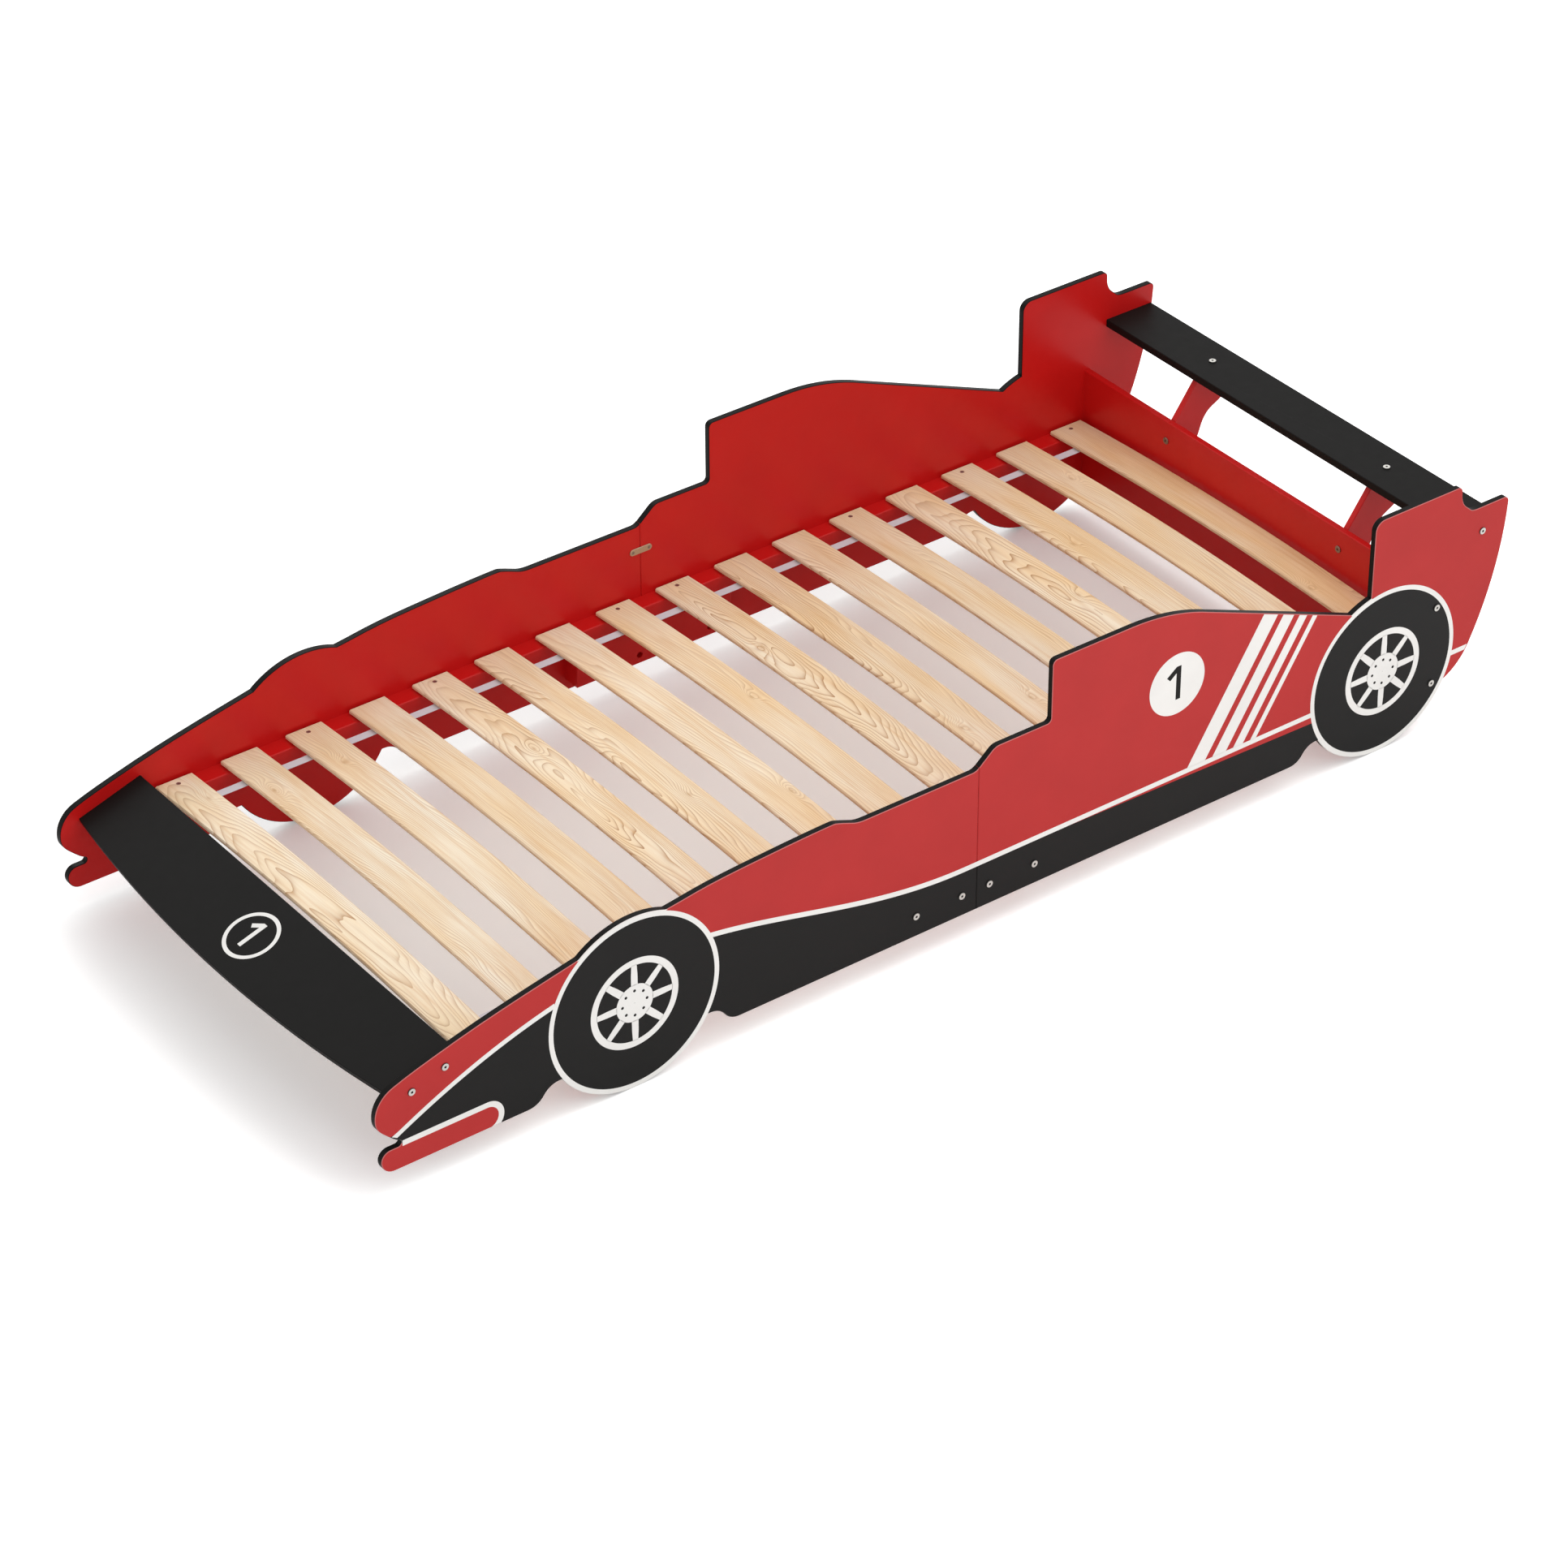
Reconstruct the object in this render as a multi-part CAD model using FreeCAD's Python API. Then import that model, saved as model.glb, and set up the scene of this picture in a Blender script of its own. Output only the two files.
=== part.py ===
import FreeCAD, Part
import math
import os

# Children's race-car bed with a slatted base, millimetres.
# Z is up, the floor is z = 0, the nose points to -X and Y runs across the bed.
# Lengths along the bed are counted from near the nose and moved by MIDDLE, so that
# the finished bed is centred on the origin.

MIDDLE = 1127.75         # middle of the overall length
INNER_WIDTH = 905.0      # between the side boards, for a 900 mm mattress
BOARD = 12.0             # thickness of the side, nose, rear and strut boards
ARRIS = 1.0              # bevel of the painted board edges

WHEEL_R = 160.5          # wheel discs are cut in one with the side boards
WHEEL_Z = 160.2          # centre height, leaves a small flat on the floor
WHEEL_1 = 466.0
WHEEL_2 = 1998.0
SILL_Z = 46.2            # underside of the sill
GAP_Z = 76.2             # underside where it runs into a wheel
SEAM = 1134.5            # where the two halves of a side meet
SEAM_GAP = 0.5
DIP_Z = 314.2            # low entry edge
STEP_Z = 346.5
HOOD_Z = 462.5
FIN_Z = 463.0
SHELF_Z = 406.0          # short level edge behind the fin

RAIL_TOP = 175.0
RAIL_H = 38.0
RAIL_W = 32.5
RAIL_START = 160.0

BLOCK_START = 974.0
BLOCK_END = 1297.0
BLOCK_T = 35.5
BLOCK_BOTTOM = 69.0

SLATS = 16
SLAT_PITCH = 123.9
SLAT_START = 168.3
SLAT_W = 70.5
SLAT_T = 8.0
SLAT_LENGTH = 893.0
SLAT_ARCH = 15.0
SLAT_BEVEL = 1.8         # bevel of a slat's four long edges
SCREWED_SLATS = (1, 3, 5, 8, 9, 12, 14, 16)
SLAT_SCREW_Y = 432.0

STRAP_Y = 376.0
STRAP_W = 17.0
STRAP_T = 1.6

NOSE_TILT = 17.55        # degrees, rear edge higher
NOSE_FRONT = 30.0        # top front corner at the side boards
NOSE_FRONT_Z = 176.0
NOSE_DEPTH = 122.5
NOSE_BOW = 33.0

REAR_X = 2107.0          # face toward the slats
REAR_TOP = 278.5
REAR_BOTTOM = 55.0

WING_FRONT = 2154.0
WING_BACK = 2257.5
WING_TOP = 366.0
WING_T = 15.0
STRUT_Y = 226.0

PLATE_L = 45.0
PLATE_W = 12.0
PLATE_T = 2.0
PLATE_Z = 267.5
PLATE_SCREW = 16.5       # from the seam

HEAD_R = 6.5             # flat head of a connector screw
HEAD_T = 2.0
SHANK_R = 3.0
SOCKET_AF = 4.0          # hexagon socket across flats

HALF = INNER_WIDTH / 2.0
OUTER = HALF + BOARD


def V(s, z):
    """Point of a side outline, s along the bed from the nose and z up."""
    return FreeCAD.Vector(s - MIDDLE, 0.0, z)


def on_wheel(cx, s, upper):
    """Point of a wheel's rim above or below its centre at the length s."""
    rise = math.sqrt(WHEEL_R ** 2 - (s - cx) ** 2)
    return (s, WHEEL_Z + rise if upper else WHEEL_Z - rise)


def line(a, b):
    return Part.LineSegment(V(*a), V(*b)).toShape()


def arc(a, m, b):
    return Part.Arc(V(*a), V(*m), V(*b)).toShape()


def level_arc(a, b):
    """Arc from a, where it runs level, to b."""
    dx, dz = b[0] - a[0], b[1] - a[1]
    r = (dx * dx + dz * dz) / (2.0 * dz)
    mx, mz = dx / 2.0, dz / 2.0 - r
    k = abs(r) / math.hypot(mx, mz)
    return arc(a, (a[0] + k * mx, a[1] + r + k * mz), b)


def s_step(a, b):
    """Two equal arcs that take the level edge at a over to the level edge at b."""
    middle = ((a[0] + b[0]) / 2.0, (a[1] + b[1]) / 2.0)
    return [level_arc(a, middle), level_arc(b, middle)]


def rim(cx, a, b, m_angle):
    """Arc of the wheel's rim from a to b through the given angle in degrees."""
    t = math.radians(m_angle)
    m = (cx + WHEEL_R * math.cos(t), WHEEL_Z + WHEEL_R * math.sin(t))
    return arc(a, m, b)


def curve(points, start=None, end=None):
    """Smooth curve through a few points, with the directions at its two ends."""
    c = Part.BSplineCurve()
    pts = [V(*p) for p in points]
    if start is None:
        c.interpolate(Points=pts)
    else:
        t0 = FreeCAD.Vector(start[0], 0, start[1])
        t1 = FreeCAD.Vector(end[0], 0, end[1])
        c.interpolate(Points=pts, InitialTangent=t0, FinalTangent=t1)
    return c.toShape()


def board_from(edges, y, thickness):
    """Board with its outline in the XZ plane, its lower face at y."""
    wire = Part.Wire(edges)
    face = Part.Face(wire)
    face.translate(FreeCAD.Vector(0, y, 0))
    return face.extrude(FreeCAD.Vector(0, thickness, 0))


def soften(solid, pick, bevel):
    """Bevels the edges that pick accepts."""
    edges = [e for e in solid.Edges if pick(e)]
    return solid.makeChamfer(bevel, edges)


def flat_at(e, axis, value):
    """True when a whole edge lies at one value of an axis (0 X, 1 Y, 2 Z)."""
    box = e.BoundBox
    low = (box.XMin, box.YMin, box.ZMin)[axis]
    high = (box.XMax, box.YMax, box.ZMax)[axis]
    return abs(low - value) < 1e-3 and abs(high - value) < 1e-3


# ---- front half of a side -------------------------------------------------------

def front_outline():
    """Seam, sill, S-shaped step to the wheel, wheel, foot, notch, lobe and top edge."""
    end = SEAM - SEAM_GAP / 2.0
    a = on_wheel(WHEEL_1, WHEEL_1 + 137.0, False)
    b = on_wheel(WHEEL_1, WHEEL_1 - 137.0, False)
    c = on_wheel(WHEEL_1, 365.5, True)
    d = on_wheel(WHEEL_1, 527.5, True)
    e = []
    e.append(line((end, 318.99), (end, SILL_Z)))
    e.append(line((end, SILL_Z), (664.0, SILL_Z)))
    e += s_step((664.0, SILL_Z), (608.0, a[1]))
    e.append(line((608.0, a[1]), a))
    e.append(rim(WHEEL_1, a, b, -90))
    e.append(line(b, (324.0, b[1])))
    e += s_step((324.0, b[1]), (266.0, SILL_Z))
    e.append(line((266.0, SILL_Z), (24.0, SILL_Z)))
    e.append(level_arc((24.0, SILL_Z), (0.7, 66.5)))
    e.append(level_arc((18.0, 87.4), (0.7, 66.5)))
    e.append(line((18.0, 87.4), (31.2, 87.4)))
    e.append(arc((31.2, 87.4), (37.6, 93.8), (33.6, 99.6)))
    e.append(curve([(33.6, 99.6), (20.0, 109.4), (5.0, 124.0), (-4.5, 138.0),
                    (-6.7, 154.0), (-2.8, 172.0), (9.8, 190.0), (30.0, 201.8)],
                   (-0.93, 0.37), (0.93, 0.35)))
    e.append(curve([(30.0, 201.8), (90.0, 221.2), (195.0, 249.1), c],
                   (0.93, 0.35), (0.975, 0.2)))
    e.append(rim(WHEEL_1, c, d, 100))
    e.append(curve([d, (590.0, 317.2), (695.0, 325.6), (785.0, 330.0), (847.0, 331.6)],
                   (0.995, 0.12), (1, 0.01)))
    e.append(curve([(847.0, 331.6), (855.0, 330.0), (878.0, 321.4), (912.0, DIP_Z)],
                   (1, 0.01), (1, 0)))
    e.append(line((912.0, DIP_Z), (1121.26, DIP_Z)))
    e.append(arc((1121.26, DIP_Z), (1128.18, 315.44), (end, 318.99)))
    return e


# ---- rear half of a side --------------------------------------------------------

def rear_outline():
    """Seam, ramp, step, hood, wheel, fin, tail, wheel again and sill."""
    start = SEAM + SEAM_GAP / 2.0
    a = on_wheel(WHEEL_2, 1920.0, True)
    b = on_wheel(WHEEL_2, 1961.5, True)
    c = on_wheel(WHEEL_2, 2141.0, False)
    d = on_wheel(WHEEL_2, WHEEL_2 - 137.0, False)
    e = []
    e.append(line((start, 318.9), (1160.4, 340.75)))
    e.append(arc((1160.4, 340.75), (1167.69, 345.02), (1176.0, STEP_Z)))
    e.append(line((1176.0, STEP_Z), (1271.5, STEP_Z)))
    e.append(arc((1271.5, STEP_Z), (1277.5, 349.0), (1280.0, 355.0)))
    e.append(line((1280.0, 355.0), (1280.0, 452.5)))
    e.append(arc((1280.0, 452.5), (1282.9, 459.6), (1290.0, HOOD_Z)))
    e.append(line((1290.0, HOOD_Z), (1442.0, HOOD_Z)))
    e.append(level_arc((1442.0, HOOD_Z), (1605.0, 428.4)))
    e.append(line((1605.0, 428.4), a))
    e.append(rim(WHEEL_2, a, b, 110))
    e.append(line(b, (1961.5, 444.0)))
    e.append(arc((1961.5, 444.0), (1967.1, 457.4), (1980.5, FIN_Z)))
    e.append(line((1980.5, FIN_Z), (2143.0, FIN_Z)))
    e.append(arc((2143.0, FIN_Z), (2150.1, 460.1), (2153.0, 453.0)))
    e.append(curve([(2153.0, 453.0), (2154.0, 439.0), (2160.5, 424.0), (2171.0, 414.0),
                    (2194.0, SHELF_Z)], (0, -1), (1, 0)))
    e.append(line((2194.0, SHELF_Z), (2252.0, SHELF_Z)))
    e.append(arc((2252.0, SHELF_Z), (2259.0, 403.1), (2262.2, 396.0)))
    e.append(arc((2262.2, 396.0), (2246.0, 282.0), (2196.0, 142.0)))
    e.append(arc((2196.0, 142.0), (2172.0, 108.0), c))
    e.append(rim(WHEEL_2, c, d, -90))
    e.append(line(d, (1856.0, d[1])))
    e += s_step((1856.0, d[1]), (1800.0, SILL_Z))
    e.append(line((1800.0, SILL_Z), (start, SILL_Z)))
    e.append(line((start, SILL_Z), (start, 318.9)))
    return e


# ---- screws and the holes they sit in ---------------------------------------------

def placed(solid, at, direction):
    """Turns a solid made along +Z to a direction and moves it to a point."""
    turn = FreeCAD.Rotation(FreeCAD.Vector(0, 0, 1), FreeCAD.Vector(*direction))
    solid = solid.copy()
    solid.Placement = FreeCAD.Placement(FreeCAD.Vector(*at), turn)
    return solid


def connector(length):
    """Flat-headed connector: head above z = 0 with a hexagon socket, shank below."""
    head = Part.makeCylinder(HEAD_R, HEAD_T)
    head = soften(head, lambda e: flat_at(e, 2, HEAD_T), 0.5)
    shank = Part.makeCylinder(SHANK_R, length, FreeCAD.Vector(0, 0, -length))
    corner = SOCKET_AF / math.sqrt(3.0)
    ring = []
    for i in range(7):
        t = math.radians(60.0 * i)
        ring.append(FreeCAD.Vector(corner * math.cos(t), corner * math.sin(t), HEAD_T - 1.6))
    socket = Part.Face(Part.makePolygon(ring)).extrude(FreeCAD.Vector(0, 0, 3.0))
    return head.fuse(shank).cut(socket).removeSplitter()


def shank_hole(length):
    """Drilling for a connector, a little wider and deeper than its shank."""
    return Part.makeCylinder(SHANK_R + 0.1, length + 1.5,
                             FreeCAD.Vector(0, 0, -length - 1.0))


def countersunk(head_r, head_t, shank_r, length, grow=0.0):
    """Countersunk screw with its flat top at z = 0, or with grow its own recess."""
    above = 1.0 if grow else 0.0
    flare = (head_r - shank_r) / head_t
    cone = Part.makeCone(shank_r + grow, head_r + grow + flare * above, head_t + above,
                         FreeCAD.Vector(0, 0, -head_t))
    shank = Part.makeCylinder(shank_r + grow, length + grow - head_t,
                              FreeCAD.Vector(0, 0, -length - grow))
    body = cone.fuse(shank)
    if grow:
        return body
    cross = Part.makeBox(2.6, 0.7, 1.2, FreeCAD.Vector(-1.3, -0.35, -1.0))
    turned = Part.makeBox(0.7, 2.6, 1.2, FreeCAD.Vector(-0.35, -1.3, -1.0))
    return body.cut(cross).cut(turned).removeSplitter()


def nose_mid(depth):
    """Point (s, z) in the middle of the nose board's thickness, depth from its front."""
    t = math.radians(NOSE_TILT)
    s = NOSE_FRONT + depth * math.cos(t) + BOARD / 2.0 * math.sin(t)
    z = NOSE_FRONT_Z + depth * math.sin(t) - BOARD / 2.0 * math.cos(t)
    return (s, z)


JOINT_SCREWS = [(1011.5, 85.4), (1103.8, 85.4), (1160.0, 85.4), (1252.3, 85.4)]
END_SCREWS = [nose_mid(28.5), nose_mid(92.0),
              (REAR_X + BOARD / 2.0, 242.0), (REAR_X + BOARD / 2.0, 91.4),
              (2205.5, WING_TOP - WING_T / 2.0)]
JOINT_LENGTH = 36.0
END_LENGTH = 50.0


def side_tools(side, places, maker):
    """Tools or screws at the given places of one side, heads on its outer face."""
    out = []
    for s, z in places:
        out.append(placed(maker, (s - MIDDLE, side * OUTER, z), (0, side, 0)))
    return out


# ---- whole pieces ---------------------------------------------------------------------

def ground(y):
    """Slab below the floor, which leaves each wheel a small flat to stand on."""
    return Part.makeBox(2.0 * MIDDLE, 3.0 * BOARD, BOARD,
                        FreeCAD.Vector(-MIDDLE, y - BOARD, -BOARD))


def make_side(outline, side):
    """Half side board with bevelled arrises and drillings."""
    y = HALF if side > 0 else -OUTER
    solid = board_from(outline, y, BOARD)
    solid = soften(solid, lambda e: flat_at(e, 1, y) or flat_at(e, 1, y + BOARD), ARRIS)
    cuts = side_tools(side, JOINT_SCREWS, shank_hole(JOINT_LENGTH))
    cuts += side_tools(side, END_SCREWS, shank_hole(END_LENGTH))
    cuts += plate_tools(side, 0.1)
    cuts.append(ground(y))
    for c in cuts:
        if c.BoundBox.intersect(solid.BoundBox):
            solid = solid.cut(c)
    return solid


def plate_tools(side, grow):
    """The two plate screws of one side, or their recesses."""
    out = []
    for s in (SEAM - PLATE_SCREW, SEAM + PLATE_SCREW):
        tool = countersunk(3.2, 1.4, 1.5, 11.0, grow)
        at = (s - MIDDLE, side * (HALF - PLATE_T), PLATE_Z)
        out.append(placed(tool, at, (0, -side, 0)))
    return out


def make_plate(side):
    """Mending plate with round ends across the seam."""
    r = PLATE_W / 2.0
    reach = PLATE_L / 2.0 - r
    y = side * HALF if side < 0 else HALF - PLATE_T
    bar = Part.makeBox(2 * reach, PLATE_T, PLATE_W,
                       FreeCAD.Vector(SEAM - MIDDLE - reach, y, PLATE_Z - r))
    for s in (SEAM - reach, SEAM + reach):
        end = Part.makeCylinder(r, PLATE_T, FreeCAD.Vector(s - MIDDLE, y, PLATE_Z),
                                FreeCAD.Vector(0, 1, 0))
        bar = bar.fuse(end)
    bar = bar.removeSplitter()
    inner = y if side > 0 else y + PLATE_T
    bar = soften(bar, lambda e: flat_at(e, 1, inner), 0.4)
    for tool in plate_tools(side, 0.1):
        bar = bar.cut(tool)
    return bar


def slat_tools(side, grow):
    """Slat screws of one side, or their recesses through slat and rail."""
    out = []
    rise = slat_top(SLAT_SCREW_Y)
    for n in SCREWED_SLATS:
        s = SLAT_START + SLAT_PITCH * (n - 1) + SLAT_W / 2.0
        tool = countersunk(3.9, 2.6, 1.9, 32.0, grow)
        out.append(placed(tool, (s - MIDDLE, side * SLAT_SCREW_Y, rise - 0.2), (0, 0, 1)))
    return out


def slat_radius():
    return ((SLAT_LENGTH / 2.0) ** 2 + SLAT_ARCH ** 2) / (2.0 * SLAT_ARCH)


def slat_top(y):
    """Height of a slat's upper face at the distance y from the middle."""
    r = slat_radius() + SLAT_T
    return RAIL_TOP + SLAT_ARCH - slat_radius() + math.sqrt(r * r - y * y)


def make_slat(n):
    """Arched slat: a band between two arcs, drawn across the bed and given its width."""
    half = SLAT_LENGTH / 2.0
    x = SLAT_START + SLAT_PITCH * (n - 1) - MIDDLE
    low = RAIL_TOP
    top_end = slat_top(half)
    top_mid = RAIL_TOP + SLAT_ARCH + SLAT_T
    p = [FreeCAD.Vector(x, -half, low), FreeCAD.Vector(x, 0, low + SLAT_ARCH),
         FreeCAD.Vector(x, half, low), FreeCAD.Vector(x, half, top_end),
         FreeCAD.Vector(x, 0, top_mid), FreeCAD.Vector(x, -half, top_end)]
    edges = [Part.Arc(p[0], p[1], p[2]).toShape(), Part.LineSegment(p[2], p[3]).toShape(),
             Part.Arc(p[3], p[4], p[5]).toShape(), Part.LineSegment(p[5], p[0]).toShape()]
    slat = Part.Face(Part.Wire(edges)).extrude(FreeCAD.Vector(SLAT_W, 0, 0))
    slat = soften(slat, lambda e: e.BoundBox.YLength > half and (
        flat_at(e, 0, x) or flat_at(e, 0, x + SLAT_W)), SLAT_BEVEL)
    if n in SCREWED_SLATS:
        for side in (-1, 1):
            for tool in slat_tools(side, 0.1):
                if tool.BoundBox.intersect(slat.BoundBox):
                    slat = slat.cut(tool)
    return slat


def make_rail(side):
    """Square bar along the inner face, from the nose board to the rear board."""
    y = HALF - RAIL_W if side > 0 else -HALF
    inner = HALF - RAIL_W if side > 0 else -HALF + RAIL_W
    bar = Part.makeBox(REAR_X - RAIL_START, RAIL_W, RAIL_H,
                       FreeCAD.Vector(RAIL_START - MIDDLE, y, RAIL_TOP - RAIL_H))
    bar = soften(bar, lambda e: flat_at(e, 1, inner) and e.BoundBox.XLength > RAIL_H, 1.5)
    for tool in slat_tools(side, 0.1):
        bar = bar.cut(tool)
    return bar


def make_block(side):
    """Joint block below the rail, with a wide well behind each connector."""
    y = HALF - BLOCK_T if side > 0 else -HALF
    inner = HALF - BLOCK_T if side > 0 else -HALF + BLOCK_T
    height = RAIL_TOP - RAIL_H - BLOCK_BOTTOM
    block = Part.makeBox(BLOCK_END - BLOCK_START, BLOCK_T, height,
                         FreeCAD.Vector(BLOCK_START - MIDDLE, y, BLOCK_BOTTOM))
    block = soften(block, lambda e: flat_at(e, 1, inner), ARRIS)
    for s, z in JOINT_SCREWS:
        well = Part.makeCylinder(6.0, 14.0)
        block = block.cut(placed(well, (s - MIDDLE, inner, z), (0, side, 0)))
    for tool in side_tools(side, JOINT_SCREWS, shank_hole(JOINT_LENGTH)):
        block = block.cut(tool)
    return block


def make_nose():
    """Tilted board between the sides, straight behind and bowed in front."""
    a = FreeCAD.Vector(0, -HALF, 0)
    m = FreeCAD.Vector(-NOSE_BOW, 0, 0)
    b = FreeCAD.Vector(0, HALF, 0)
    c = FreeCAD.Vector(NOSE_DEPTH, HALF, 0)
    d = FreeCAD.Vector(NOSE_DEPTH, -HALF, 0)
    edges = [Part.Arc(a, m, b).toShape(), Part.LineSegment(b, c).toShape(),
             Part.LineSegment(c, d).toShape(), Part.LineSegment(d, a).toShape()]
    board = Part.Face(Part.Wire(edges)).extrude(FreeCAD.Vector(0, 0, -BOARD))
    board = soften(board, lambda e: e.BoundBox.YLength > 800, ARRIS)
    board.rotate(FreeCAD.Vector(0, 0, 0), FreeCAD.Vector(0, 1, 0), -NOSE_TILT)
    board.translate(FreeCAD.Vector(NOSE_FRONT - MIDDLE, 0, NOSE_FRONT_Z))
    return drilled(board)


def drilled(board):
    """Takes the end drillings of both sides out of a cross board."""
    for side in (-1, 1):
        for tool in side_tools(side, END_SCREWS, shank_hole(END_LENGTH)):
            if tool.BoundBox.intersect(board.BoundBox):
                board = board.cut(tool)
    return board


def make_rear():
    """Upright board across the bed, behind the last slat."""
    board = Part.makeBox(BOARD, INNER_WIDTH, REAR_TOP - REAR_BOTTOM,
                         FreeCAD.Vector(REAR_X - MIDDLE, -HALF, REAR_BOTTOM))
    board = soften(board, lambda e: e.BoundBox.YLength > 800, ARRIS)
    board = drilled(board)
    for y in (-STRUT_Y, STRUT_Y):
        tool = placed(shank_hole(40.0), (REAR_X - MIDDLE, y, 240.5), (-1, 0, 0))
        board = board.cut(tool)
    return board


def make_wing():
    """Flat board across the tail."""
    board = Part.makeBox(WING_BACK - WING_FRONT, INNER_WIDTH, WING_T,
                         FreeCAD.Vector(WING_FRONT - MIDDLE, -HALF, WING_TOP - WING_T))
    board = soften(board, lambda e: e.BoundBox.YLength > 800, ARRIS)
    board = drilled(board)
    for y in (-STRUT_Y, STRUT_Y):
        tool = placed(shank_hole(45.0), (2207.0 - MIDDLE, y, WING_TOP), (0, 0, 1))
        board = board.cut(tool)
    return board


def make_strut(y):
    """Upright board: leans back off the rear board and swells to carry the wing."""
    back = REAR_X + BOARD
    top = WING_TOP - WING_T
    e = []
    e.append(line((back, 202.0), (back, 273.0)))
    e.append(line((back, 273.0), (2175.5, top)))
    e.append(line((2175.5, top), (2249.0, top)))
    e.append(curve([(2249.0, top), (2243.0, 314.0), (2225.0, 289.0), (2200.0, 274.6),
                    (2184.0, 253.0), (2174.0, 226.0), (2163.0, 208.0), (2150.0, 202.0)],
                   (0, -1), (-1, 0)))
    e.append(line((2150.0, 202.0), (back, 202.0)))
    strut = board_from(e, y - BOARD / 2.0, BOARD)
    strut = soften(strut, lambda e: (
        flat_at(e, 1, y - BOARD / 2.0) or flat_at(e, 1, y + BOARD / 2.0)) and
        not flat_at(e, 2, top) and not flat_at(e, 0, back - MIDDLE), ARRIS)
    front = placed(shank_hole(40.0), (REAR_X - MIDDLE, y, 240.5), (-1, 0, 0))
    above = placed(shank_hole(45.0), (2207.0 - MIDDLE, y, WING_TOP), (0, 0, 1))
    return strut.cut(front).cut(above)


def make_strap(y):
    """Webbing band under all the slats."""
    rim_y = abs(y) + STRAP_W / 2.0
    top = slat_top(rim_y) - SLAT_T - 0.3
    first = SLAT_START + 3.0
    last = SLAT_START + SLAT_PITCH * (SLATS - 1) + SLAT_W - 3.0
    return Part.makeBox(last - first, STRAP_W, STRAP_T,
                        FreeCAD.Vector(first - MIDDLE, y - STRAP_W / 2.0, top - STRAP_T))


def main_parts():
    """Every node's name with its solid or group of solids."""
    parts = {}
    for name, side in (("left", -1), ("right", 1)):
        parts["side_front_" + name] = make_side(front_outline(), side)
        parts["side_rear_" + name] = make_side(rear_outline(), side)
        parts["rail_" + name] = make_rail(side)
        parts["joint_block_" + name] = make_block(side)
        parts["seam_plate_" + name] = make_plate(side)
        parts["strap_" + name] = make_strap(side * STRAP_Y)
        parts["wing_strut_" + name] = make_strut(side * STRUT_Y)
    parts["nose_board"] = make_nose()
    parts["rear_board"] = make_rear()
    parts["wing_board"] = make_wing()
    for n in range(1, SLATS + 1):
        parts["slat_%02d" % n] = make_slat(n)
    ends, joints, plates, slats = [], [], [], []
    for side in (-1, 1):
        ends += side_tools(side, END_SCREWS, connector(END_LENGTH))
        joints += side_tools(side, JOINT_SCREWS, connector(JOINT_LENGTH))
        plates += plate_tools(side, 0.0)
        slats += slat_tools(side, 0.0)
    parts["end_screws"] = Part.makeCompound(ends)
    parts["joint_screws"] = Part.makeCompound(joints)
    parts["plate_screws"] = Part.makeCompound(plates)
    parts["slat_screws"] = Part.makeCompound(slats)
    wing, strut = [], []
    for y in (-STRUT_Y, STRUT_Y):
        wing.append(placed(connector(45.0), (2207.0 - MIDDLE, y, WING_TOP), (0, 0, 1)))
        strut.append(placed(connector(40.0), (REAR_X - MIDDLE, y, 240.5), (-1, 0, 0)))
    parts["wing_screws"] = Part.makeCompound(wing)
    parts["strut_screws"] = Part.makeCompound(strut)
    return parts


os.makedirs("parts", exist_ok=True)
box = FreeCAD.BoundBox()
for node, shape in main_parts().items():
    solids = shape.Solids
    print(node, len(solids), shape.isValid(), round(sum(s.Volume for s in solids), 1))
    box.add(shape.BoundBox)
    shape.exportStep("parts/" + node + ".step")
print("box", box)
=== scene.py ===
import math

import bpy
import numpy as np
from mathutils import Matrix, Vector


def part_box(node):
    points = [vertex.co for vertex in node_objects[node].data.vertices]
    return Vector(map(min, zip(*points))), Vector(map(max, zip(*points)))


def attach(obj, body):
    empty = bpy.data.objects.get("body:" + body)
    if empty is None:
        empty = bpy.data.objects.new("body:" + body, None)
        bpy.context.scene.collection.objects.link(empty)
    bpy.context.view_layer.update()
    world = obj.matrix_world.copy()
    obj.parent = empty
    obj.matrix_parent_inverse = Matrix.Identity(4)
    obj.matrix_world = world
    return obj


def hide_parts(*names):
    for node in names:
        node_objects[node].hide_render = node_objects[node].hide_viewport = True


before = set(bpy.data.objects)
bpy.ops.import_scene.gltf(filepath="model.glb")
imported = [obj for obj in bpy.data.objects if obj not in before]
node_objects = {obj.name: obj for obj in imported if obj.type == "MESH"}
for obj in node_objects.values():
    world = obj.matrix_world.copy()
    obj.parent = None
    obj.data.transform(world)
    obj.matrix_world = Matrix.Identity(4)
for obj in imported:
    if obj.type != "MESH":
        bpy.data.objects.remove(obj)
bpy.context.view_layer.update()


# ---- Side boards -----------------------------------------------------------------------
# Each long side is two halves of 12 mm fibreboard cut to a racing car's outline.
# Both faces are lacquered red, the cut edges black, and the outer face is printed.

# Places along the bed are in mm from a line near the nose, and heights are in mm.
MM = 0.001
BED_MIDDLE = 1127.75      # middle of the bed's length
SEAM = 1134.5             # where the two halves of a side meet
BOARD_OUTER = 464.5       # from the middle of the bed's width to a side's outer face
WHEELS = (466.0, 1998.0)  # middles of the wheel discs
WHEEL_HEIGHT = 160.2


def colour(red, green, blue):
    """Linear colour of a shade read off a colour card as three numbers up to 255."""
    card = np.array([red, green, blue]) / 255.0
    linear = np.where(card <= 0.04045, card / 12.92, ((card + 0.055) / 1.055) ** 2.4)
    return tuple(float(c) for c in linear) + (1.0,)


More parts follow.
